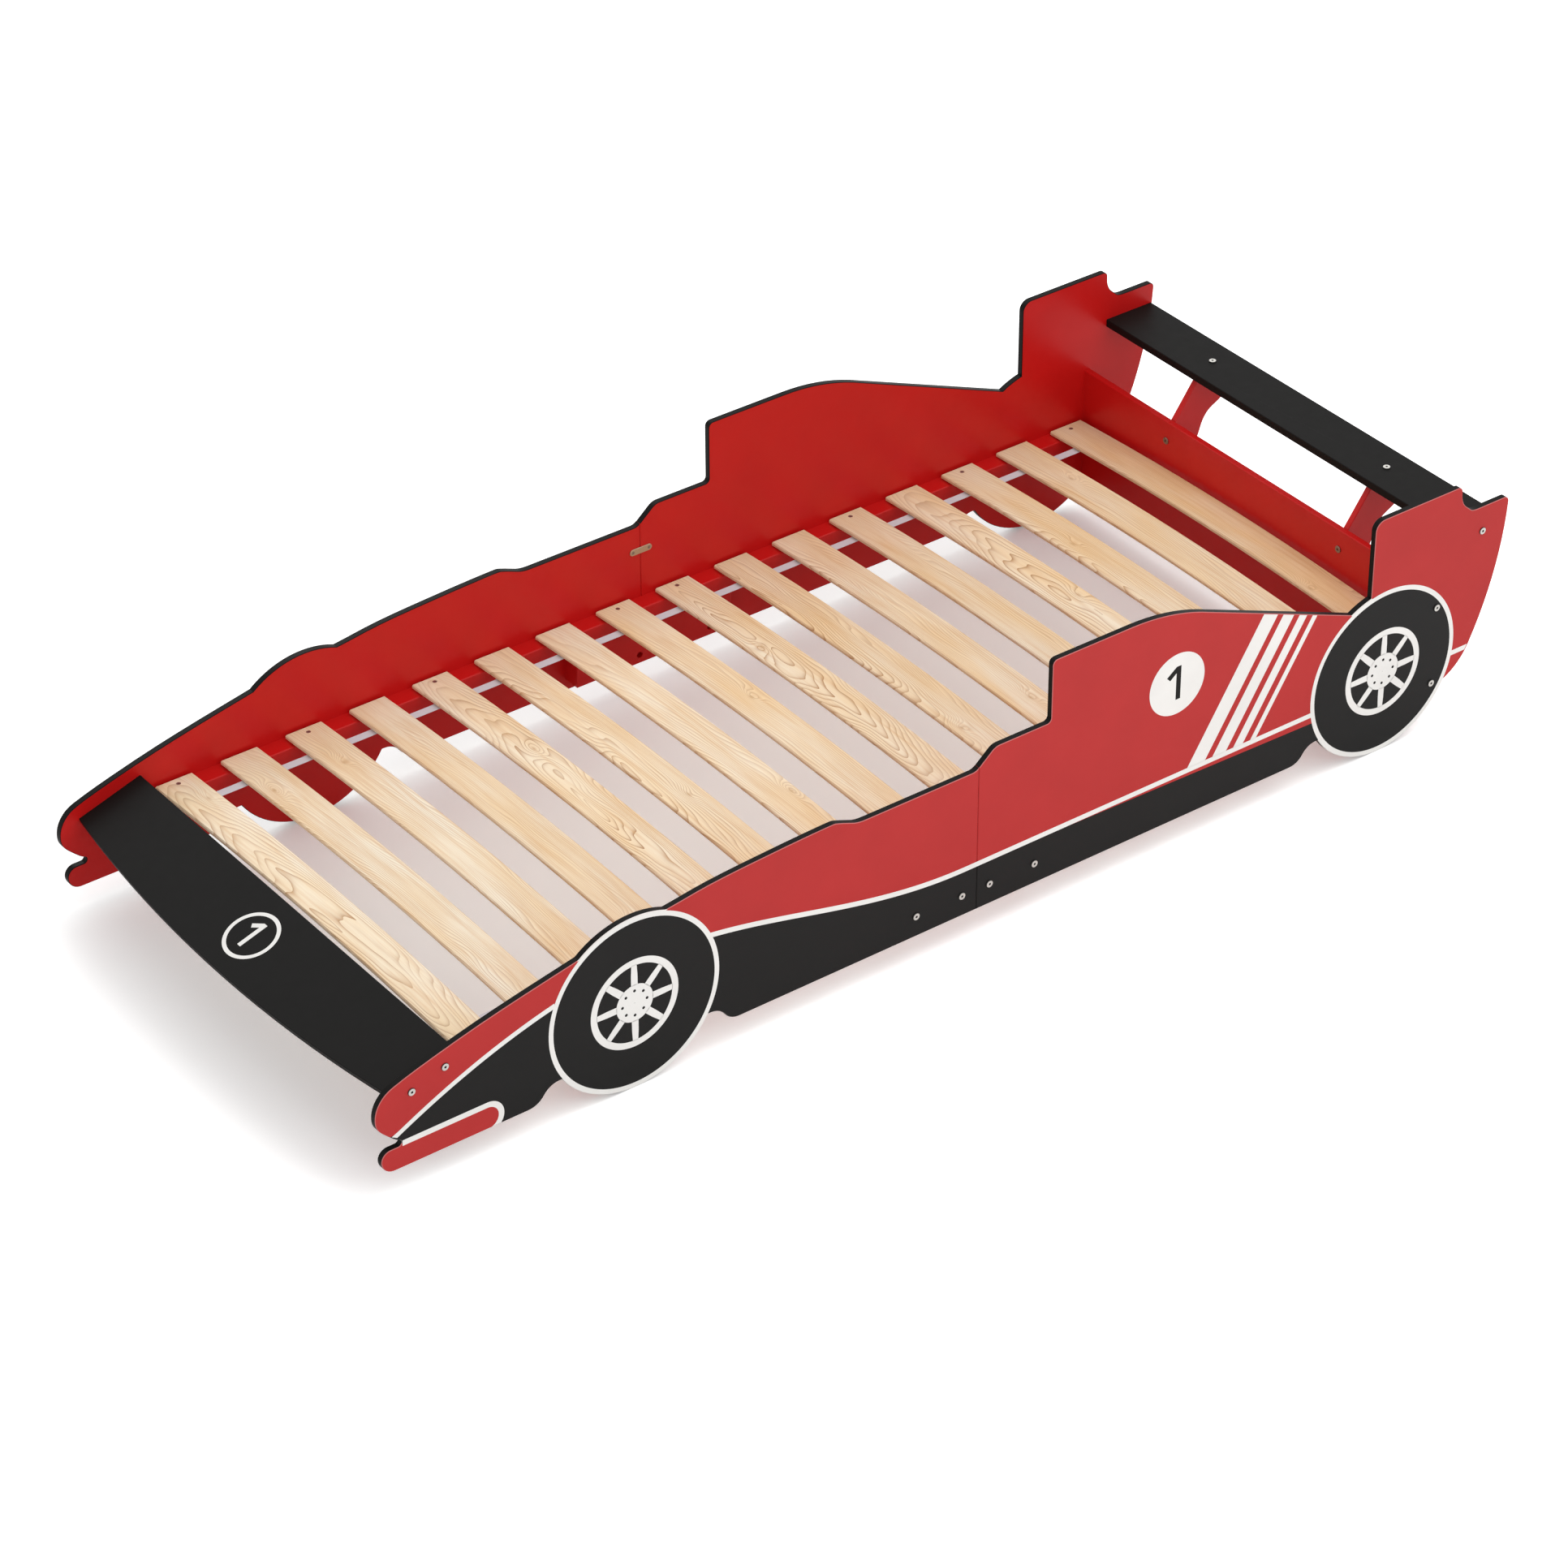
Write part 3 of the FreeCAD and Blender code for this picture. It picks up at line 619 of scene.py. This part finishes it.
def late_wood(tree, count, across, along, luck, spot, bell):
    """Share of dark late wood: the rings of a log that leans a little.

    A ring is the distance to the log's pith, whose depth under the slat changes along it.
    Four slats come side by side from one log, and the first of them has the pith. Clouds
    bend the rings, and a knot pushes them outward by its bell curve. Each ring darkens by
    a power of the way through it, more sharply in the heartwood round the pith."""
    depth = arithmetic(tree, "MULTIPLY_ADD", luck[1], PITH_RANGE, -PITH_RANGE / 2.0)
    depth = arithmetic(tree, "MULTIPLY_ADD", along, PITH_LEAN, depth)
    place_in_log = arithmetic(tree, "FRACT", arithmetic(tree, "DIVIDE", count, LOG_SLATS))
    aside = arithmetic(tree, "MULTIPLY_ADD", luck[0], 0.03, -0.015)
    aside = arithmetic(tree, "MULTIPLY_ADD", place_in_log, LOG_WIDTH, aside)
    aside = arithmetic(tree, "ADD", across, aside)
    bend = swing(tree, spot, 0.07, 1.0, (0.6, 4.0, 1.0))
    aside = arithmetic(tree, "MULTIPLY_ADD", bend, LOG_BEND, aside)
    pith = arithmetic(tree, "SQRT", arithmetic(
        tree, "ADD", arithmetic(tree, "MULTIPLY", aside, aside),
        arithmetic(tree, "MULTIPLY", depth, depth)))
    heartwood = arithmetic(tree, "MULTIPLY_ADD", pith, -20.0, 1.4, use_clamp=True)

    wave = swing(tree, spot, 0.02, 2.0, (1.0, 4.0, 1.0))
    pith = arithmetic(tree, "MULTIPLY_ADD", wave, RING_WAVE, pith)
    eddy = swing(tree, spot, 0.06, 1.0, (0.7, 2.8, 1.0))
    everywhere, in_heartwood = RING_EDDY
    reach = arithmetic(tree, "MULTIPLY_ADD", heartwood, in_heartwood, everywhere)
    pith = arithmetic(tree, "ADD", pith, arithmetic(tree, "MULTIPLY", eddy, reach))
    pith = arithmetic(tree, "MULTIPLY_ADD", bell, KNOT_PUSH, pith)
    narrowest, by_chance, in_heartwood = RING_WIDTH
    growth = arithmetic(tree, "MULTIPLY_ADD", luck[2], by_chance, narrowest)
    growth = arithmetic(tree, "MULTIPLY_ADD", heartwood, in_heartwood, growth)
    year = arithmetic(tree, "FRACT", arithmetic(tree, "DIVIDE", pith, growth))
    sharpness = arithmetic(tree, "MULTIPLY_ADD", heartwood, 2.6, 2.0)
    late = arithmetic(tree, "POWER", year, sharpness)
    fade = clouds(tree, spot, 0.06, 2.0, (1.0, 3.0, 1.0))
    fade = arithmetic(tree, "MULTIPLY_ADD", fade, 2.2, -0.30, use_clamp=True)
    figure = arithmetic(tree, "MULTIPLY_ADD", heartwood, 0.5, 0.5)
    return arithmetic(tree, "MULTIPLY", late, arithmetic(tree, "MULTIPLY", fade, figure))


def slat_wood():
    """Planed pine: rings, fine fibres, brown streaks and a knot on pale or warm wood.

    The sawn long edges are darker and the grain stands up. The slats' ends are painted paler
    and less red, as painted light against the red light that the sides throw on them, and
    the slats are painted warmer and darker toward the tail as painted shade from the boards
    there."""
    material, tree, shader, coords = new_material("slat_pine")
    count, across, along, luck, spot = place_on_slat(tree, coords.outputs["Object"])
    bell = knot_bell(tree, across, along, luck)
    late = late_wood(tree, count, across, along, luck, spot, bell)

    fibre = clouds(tree, spot, 0.0013, 3.0, (1.0, 45.0, 1.0))
    streak = clouds(tree, spot, 0.006, 3.0, (1.0, 30.0, 1.0))
    streak = arithmetic(tree, "MULTIPLY_ADD", streak, 2.2, -1.0, use_clamp=True)
    warmth_and_tail_shade = clouds(tree, spot, 0.10, 2.0, (0.5, 3.0, 1.0))
    warmth_and_tail_shade = arithmetic(tree, "MULTIPLY_ADD", warmth_and_tail_shade, 1.9, -0.65)
    # Slats further toward the tail are painted warmer: painted shade from the boards at the
    # tail.
    warmth_and_tail_shade = arithmetic(tree, "MULTIPLY_ADD", count, 0.024, warmth_and_tail_shade, use_clamp=True)
    heart = arithmetic(tree, "POWER", bell, 14.0)
    facing = shader_node(tree, "SeparateXYZ", {0: coords.outputs["Normal"]}).outputs[0]
    sawn = arithmetic(tree, "MULTIPLY_ADD", arithmetic(tree, "ABSOLUTE", facing), 1.5, -0.5,
                      use_clamp=True)
    # Toward the ends the slats are painted paler: painted light against the red light from
    # the sides.
    end = arithmetic(tree, "MULTIPLY_ADD", arithmetic(tree, "ABSOLUTE", along), 7.0, -2.2,
                     use_clamp=True)

    wood = blended(tree, warmth_and_tail_shade, PALE_WOOD, WARM_WOOD)
    wood = blended(tree, late, wood, LATE_WOOD)
    for mark, strength, shade in ((fibre, 0.32, FIBRE), (streak, 0.7, STREAK),
                                  (heart, 0.55, KNOT), (sawn, 0.4, SAWN_EDGE),
                                  (end, 0.35, PAINTED_LIGHT_AT_ENDS)):
        share = arithmetic(tree, "MULTIPLY", mark, strength)
        wood = blended(tree, share, wood, shade)
    value = arithmetic(tree, "MULTIPLY_ADD", luck[2], 0.04, 1.02)
    # Each slat further toward the tail is painted a little darker: painted shade from the
    # boards at the tail.
    value = arithmetic(tree, "MULTIPLY_ADD", count, -0.003, value)
    wood = shader_node(tree, "HueSaturation", {"Color": wood, "Value": value}).outputs[0]
    tree.links.new(wood, shader.inputs["Base Color"])
    gloss = arithmetic(tree, "MULTIPLY_ADD", fibre, 0.14, 0.46)
    tree.links.new(gloss, shader.inputs["Roughness"])
    shader.inputs["Specular IOR Level"].default_value = 0.3
    relief = arithmetic(tree, "MULTIPLY_ADD", late, -0.6, fibre)
    grain = shader_node(tree, "Bump", {"Strength": 0.35, "Distance": 0.00012,
                                       "Height": relief})
    tree.links.new(grain.outputs[0], shader.inputs["Normal"])
    return material


dress(SLATS, slat_wood())


# ---- Screws and mending plates ---------------------------------------------------------
# Zinc-plated steel: flat connectors with a hexagon socket hold the boards, small
# countersunk screws hold the slats, and a short plate with round ends ties each seam.

def zinc(name, shade, roughness, axis=None, depth=0.0):
    """Plated steel with fine tumbling marks.

    With an axis, only a head's flat face keeps its full brightness. Its rim and socket,
    which don't face along the axis or lie below depth, in mm from the origin, are painted
    dark as shade."""
    material, tree, shader, coords = new_material(name)
    place = coords.outputs["Object"]
    marks = clouds(tree, place, 0.0012, 3.0, (1.0, 3.0, 1.0))
    tint = arithmetic(tree, "MULTIPLY_ADD", marks, 0.3, 0.84)
    if axis is not None:
        facing = shader_node(tree, "SeparateXYZ", {0: coords.outputs["Normal"]})
        flat = arithmetic(tree, "ABSOLUTE", facing.outputs[axis])
        flat = arithmetic(tree, "GREATER_THAN", flat, 0.9)
        height = shader_node(tree, "SeparateXYZ", {0: place}).outputs[axis]
        height = arithmetic(tree, "ABSOLUTE", height)
        proud = arithmetic(tree, "GREATER_THAN", height, depth * MM)
        face = arithmetic(tree, "MULTIPLY", flat, proud)
        # Rim and socket are painted dark: painted shade in the head's recess and round its
        # edge.
        painted_shade = arithmetic(tree, "MULTIPLY_ADD", face, 0.85, 0.15)
        tint = arithmetic(tree, "MULTIPLY", tint, painted_shade)
    shaded = shader_node(tree, "HueSaturation", {"Color": shade, "Value": tint})
    tree.links.new(shaded.outputs[0], shader.inputs["Base Color"])
    shader.inputs["Metallic"].default_value = 1.0
    tree.links.new(arithmetic(tree, "MULTIPLY_ADD", marks, 0.2, roughness),
                   shader.inputs["Roughness"])
    dents = shader_node(tree, "Bump", {"Strength": 0.3, "Distance": 0.00005,
                                       "Height": marks})
    tree.links.new(dents.outputs[0], shader.inputs["Normal"])
    return material


CONNECTOR = colour(224, 222, 216)
WING_TOP = 366.0           # height of the wing board's upper face
ACROSS_BED, UPWARD = 1, 2  # the axes that the connectors point along
dress(["end_screws", "joint_screws"],
      zinc("side_connector_zinc", CONNECTOR, roughness=0.30, axis=ACROSS_BED,
           depth=BOARD_OUTER + 1.0))
dress(["wing_screws"],
      zinc("wing_connector_zinc", CONNECTOR, roughness=0.30, axis=UPWARD,
           depth=WING_TOP + 1.0))
dress(["strut_screws"],
      zinc("strut_connector_zinc", colour(150, 128, 120), roughness=0.30))
dress(["slat_screws", "plate_screws"],
      zinc("dark_steel", colour(160, 150, 142), roughness=0.38))
# The plates' zinc is tinted warm brown: painted reflection of the red boards round them.
dress(["seam_plate_left", "seam_plate_right"],
      zinc("plate_zinc", colour(196, 178, 156), roughness=0.34))


# ---- Straps ----------------------------------------------------------------------------
# Two bands of pale woven tape, 17 mm wide, pulled tight under the slats and stapled to
# each one, so that the slats which aren't screwed keep their places.

STRAP_Y = 376.0            # mm from the middle of the bed's width
STRAP_WIDTH = 17.0
STRAP_THICKNESS = 0.9
STRAP_DIP = 1.2            # how far the tape sinks between two slats
STRAP_LIFT = 0.2           # tape's middle over the top of the plain band it stands for
ARCH_SLOPE = 0.057         # fall of the arched slats toward the side, at the straps
THREAD = 1.1               # from one thread of the weave to the next


def webbing():
    """Plain weave: two sets of threads cross, each over and under the other in turn. The
    weave's low places are painted darker as shade.
    """
    material, tree, shader, coords = new_material("woven_tape")
    axes = shader_node(tree, "SeparateXYZ", {0: coords.outputs["UV"]})
    lengthwise, crosswise = (
        arithmetic(tree, "SINE", arithmetic(tree, "MULTIPLY", axes.outputs[way],
                                            math.pi / (THREAD * MM))) for way in (0, 1))
    cross = arithmetic(tree, "MULTIPLY", lengthwise, crosswise)
    weave = arithmetic(tree, "MULTIPLY_ADD", cross, 0.5, 0.5)
    # The tape is painted darker where the weave is low: painted shade in its hollows.
    tape = blended(tree, weave, colour(196, 194, 200), colour(226, 225, 230))
    tree.links.new(tape, shader.inputs["Base Color"])
    shader.inputs["Roughness"].default_value = 0.8
    threads = shader_node(tree, "Bump", {"Strength": 0.6, "Distance": 0.0003,
                                         "Height": weave})
    tree.links.new(threads.outputs[0], shader.inputs["Normal"])
    return material


def strap(name, side, material):
    """Tape as a grid of length by width: flat under each slat, a shallow dip between.

    The dip is a cosine of the slat pitch with its crests and hollows cut off. Across its
    width the tape follows the slope of the arched slats."""
    low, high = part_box("strap_" + name)
    s = np.linspace(low[0], high[0], 380)
    w = np.linspace(-0.5, 0.5, 5) * STRAP_WIDTH * MM
    pitch = (s / MM + BED_MIDDLE - SLAT_START - SLAT_WIDTH / 2.0) / SLAT_PITCH
    dip = STRAP_DIP * MM * np.clip(0.5 - 0.9 * np.cos(2.0 * math.pi * pitch), 0.0, 1.0)
    length, width = np.meshgrid(s, w, indexing="ij")
    y = side * STRAP_Y * MM + width
    z = high[2] + STRAP_LIFT * MM - ARCH_SLOPE * side * width - dip[:, None]
    grid = np.stack([length, y, z], axis=-1)
    quads = grid_faces(len(s), len(w))
    piece = new_piece("tape_" + name, grid.reshape(-1, 3), quads, material)
    uv = piece.data.uv_layers.new(name="tape")
    flat = np.stack([length, width], axis=-1).reshape(-1, 2)
    uv.data.foreach_set("uv", flat[quads.ravel()].ravel())
    thicken(piece, STRAP_THICKNESS)
    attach(piece, "root")
    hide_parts("strap_" + name)


tape_material = webbing()
for side_name, side in SIDES:
    strap(side_name, side, tape_material)


# ---- Floor, light and camera -----------------------------------------------------------
# White studio: a floor that keeps the soft shadow on the side away from the light, one
# large lamp high behind the tail, one beside the bed on either side, and the camera.

FLOOR_EDGE = 40.0          # m from the middle of the floor
FLOOR_DROP = 0.0005        # m that the floor lies below the wheels' flats
SHADOW_REACH = 0.9         # m over which something above the floor dims it
TOWARD_LIGHT = (0.5, -0.5, 0.7)
SHADOW_LEVEL = 0.14        # light added for the eye where no open sky is seen
OPEN_LEVEL = 0.6           # and how much more is added under the whole of it


def studio_floor():
    """Large white sheet under the bed, seen a little lighter than it is lit.

    The light added for the camera's eye is the cube of how much open sky a spot sees on
    the side of the light, so the floor's white stays and its shadow stays soft."""
    edge = np.linspace(-FLOOR_EDGE, FLOOR_EDGE, 3)
    x, y = np.meshgrid(edge, edge, indexing="ij")
    grid = np.stack([x, y, np.full_like(x, -FLOOR_DROP)], axis=-1)
    material, tree, shader, _ = new_material("studio_white")
    shader.inputs["Base Color"].default_value = (0.92, 0.92, 0.92, 1.0)
    shader.inputs["Roughness"].default_value = 0.9
    shader.inputs["Specular IOR Level"].default_value = 0.0
    shader.inputs["Emission Color"].default_value = (1.0, 1.0, 1.0, 1.0)
    to_camera = shader_node(tree, "LightPath").outputs["Is Camera Ray"]
    toward_light = shader_node(tree, "CombineXYZ", dict(enumerate(TOWARD_LIGHT)))
    open_sky = shader_node(tree, "AmbientOcclusion", {
        "Distance": SHADOW_REACH, "Normal": toward_light.outputs[0]}, samples=8)
    added = arithmetic(tree, "POWER", open_sky.outputs["AO"], 3.0)
    added = arithmetic(tree, "MULTIPLY_ADD", added, OPEN_LEVEL, SHADOW_LEVEL)
    tree.links.new(arithmetic(tree, "MULTIPLY", to_camera, added),
                   shader.inputs["Emission Strength"])
    floor = new_piece("studio_floor", grid.reshape(-1, 3), grid_faces(3, 3), material)


LIT_POINT = (0.0, 0.0, 0.2)   # m, middle of the bed, a little above the floor


def soft_lamp(name, spot, size, power):
    """Square lamp that looks at the middle of the bed and isn't seen itself."""
    lamp = bpy.data.lights.new(name, "AREA")
    lamp.size = size
    lamp.energy = power
    holder = bpy.data.objects.new(name, lamp)
    holder.location = spot
    aim = np.array(LIT_POINT) - np.array(spot)
    pitch = math.atan2(math.hypot(aim[0], aim[1]), -aim[2])
    holder.rotation_euler = (pitch, 0.0, math.atan2(-aim[0], aim[1]))
    holder.visible_camera = False
    bpy.context.scene.collection.objects.link(holder)


studio_floor()
soft_lamp("lamp_above_tail", (3.4, -1.0, 8.2), size=5.0, power=150.0)
soft_lamp("lamp_beside", (0.1, -2.6, 1.2), size=1.7, power=10.5)
soft_lamp("lamp_beyond", (0.6, 4.5, 3.0), size=3.0, power=44.0)

SKY_LIGHT = (0.77, 0.77, 0.77, 1.0)
SKY_SEEN = (1.0, 1.0, 1.0, 1.0)   # by the camera and in reflections

world = bpy.data.worlds.new("studio")
world.use_nodes = True
bpy.context.scene.world = world
sky = world.node_tree
ray = shader_node(sky, "LightPath")
seen = arithmetic(sky, "MAXIMUM", ray.outputs["Is Camera Ray"],
                  arithmetic(sky, "MAXIMUM", ray.outputs["Is Glossy Ray"],
                             ray.outputs["Is Transmission Ray"]))
sky_colour = blended(sky, seen, SKY_LIGHT, SKY_SEEN)
sky.links.new(sky_colour, sky.nodes["Background"].inputs["Color"])

AZIMUTH, ELEVATION, ROLL = np.radians((-36.742, 34.449, -0.172))
CAMERA_SPOT = (-4.33775, -5.7711, 4.9898)   # m
FOCAL_LENGTH, FILM_WIDTH = 121.18, 36.0     # mm

back = np.array([math.sin(AZIMUTH) * math.cos(ELEVATION),
                 -math.cos(AZIMUTH) * math.cos(ELEVATION), math.sin(ELEVATION)])
right = np.array([math.cos(AZIMUTH), math.sin(AZIMUTH), 0.0])
up = np.cross(back, right)
matrix = np.eye(4)
matrix[:3, 0] = math.cos(ROLL) * right + math.sin(ROLL) * up
matrix[:3, 1] = -math.sin(ROLL) * right + math.cos(ROLL) * up
matrix[:3, 2] = back
matrix[:3, 3] = CAMERA_SPOT
camera_data = bpy.data.cameras.new("camera")
camera_data.lens = FOCAL_LENGTH
camera_data.sensor_width = FILM_WIDTH
camera_data.clip_end = 100.0
camera = bpy.data.objects.new("camera", camera_data)
camera.matrix_world = Matrix(matrix.tolist())
bpy.context.scene.collection.objects.link(camera)
bpy.context.scene.camera = camera
bpy.context.scene.view_settings.view_transform = "Standard"
